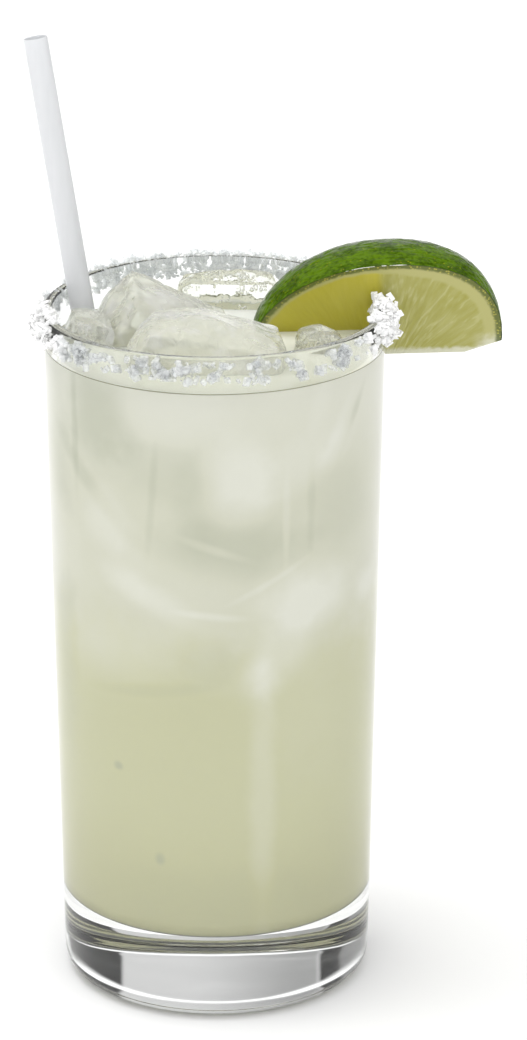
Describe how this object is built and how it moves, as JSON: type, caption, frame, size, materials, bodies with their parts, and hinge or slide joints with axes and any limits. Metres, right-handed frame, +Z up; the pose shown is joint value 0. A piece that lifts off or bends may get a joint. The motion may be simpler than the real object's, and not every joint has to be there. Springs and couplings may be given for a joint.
{
  "type": "margarita cocktail in a salted highball glass",
  "caption": "Cloudy iced lime cocktail in a tall straight glass with a heavy base, a ragged salt rim, ice at the top, a leaning straw and a slit wedge of lime on the rim.",
  "frame": {"origin": "centre of the glass's foot, on the surface it stands on", "axes": "+Z up through the glass, -Y towards the viewer, +X towards the side of the rim that carries the lime"},
  "size_m": [0.1025, 0.0766, 0.2067],
  "materials": {
    "glass": "clear, fire-polished",
    "drink": "wet, cloudy liquid",
    "straw": "satin, slightly see-through",
    "lime": "waxy rind and moist flesh",
    "ice": "wet, melting",
    "salt": "coarse crystals"
  },
  "bodies": {
    "root": {"glass": "glass", "drink": "drink", "straw": "straw", "lime_wedge": "lime", "ice_peak": "ice", "ice_dome": "ice", "ice_knob": "ice", "ice_clear": "ice", "ice_side": "ice"}
  },
  "joints": []
}
